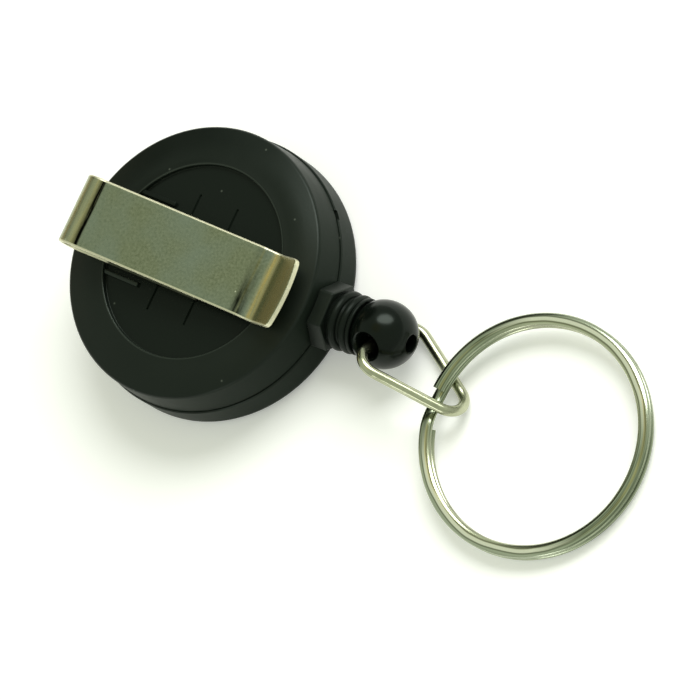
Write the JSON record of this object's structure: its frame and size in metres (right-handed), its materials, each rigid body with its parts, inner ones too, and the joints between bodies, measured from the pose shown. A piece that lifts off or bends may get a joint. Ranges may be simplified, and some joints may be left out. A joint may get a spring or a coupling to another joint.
{
  "type": "retractable badge reel",
  "caption": "Round spring reel with a folded belt clip on its back, a ribbed nozzle, a pull cord with a ball stop, a bent-wire link and a split key ring.",
  "frame": {"origin": "centre of the flat front face, on the axis of the round case", "axes": "+X out through the nozzle, +Z from the front face to the clip side"},
  "size_m": [0.0733, 0.0339, 0.0134],
  "materials": {
    "black_abs": "moulded matte black plastic",
    "black_rubber": "satin black soft plastic",
    "gloss_black": "polished black plastic",
    "clip_steel": "satin nickel-plated spring steel",
    "nickel_wire": "bright nickel plate",
    "bright_steel": "turned steel",
    "spring_steel": "blued spring steel strip",
    "white_acetal": "moulded white plastic",
    "black_nylon": "braided nylon cord"
  },
  "bodies": {
    "case": {"front_case": "black_abs", "rear_case": "black_abs", "belt_clip": "clip_steel", "nozzle_collar": "black_abs", "bumper": "black_rubber", "arbor": "bright_steel", "cord_feed": "black_nylon"},
    "reel": {"spool": "white_acetal", "spring_cover": "white_acetal", "power_spring": "spring_steel", "cord_winding": "black_nylon"},
    "cord_end": {"cord_run": "black_nylon", "cord_knot": "black_nylon"},
    "ball_stop": {"ball": "gloss_black"},
    "link": {"wire_link": "nickel_wire"},
    "ring": {"split_ring": "nickel_wire"}
  },
  "joints": [
    {"name": "cord_pull", "type": "slide", "parent": "case", "child": "cord_end", "axis": [1, 0, 0], "range_m": [0, 0.6], "stiffness_N_per_m": 0.83, "springref_m": -0.6, "deforming": ["cord_run"]},
    {"name": "spool_spin", "type": "hinge", "parent": "case", "child": "reel", "pos_m": [0, 0, 0.004], "axis": [0, 0, -1], "range_deg": [0, 4050], "deforming": ["power_spring"]},
    {"name": "ball_swivel", "type": "hinge", "parent": "cord_end", "child": "ball_stop", "pos_m": [0.02354, 0, 0.00465], "axis": [1, 0, 0], "continuous": true},
    {"name": "link_swing", "type": "hinge", "parent": "ball_stop", "child": "link", "pos_m": [0.02354, 0, 0.00465], "axis": [0, 0.6613, -0.7501], "range_deg": [-85, 60]},
    {"name": "ring_swing", "type": "hinge", "parent": "link", "child": "ring", "pos_m": [0.03143, -0.00337, 0.00224], "axis": [-0.0905, -0.9956, -0.0239], "range_deg": [-74, 74]}
  ],
  "couplings": [
    {"joint": "spool_spin", "follows": "cord_pull", "rad_per_m": 117.7}
  ]
}
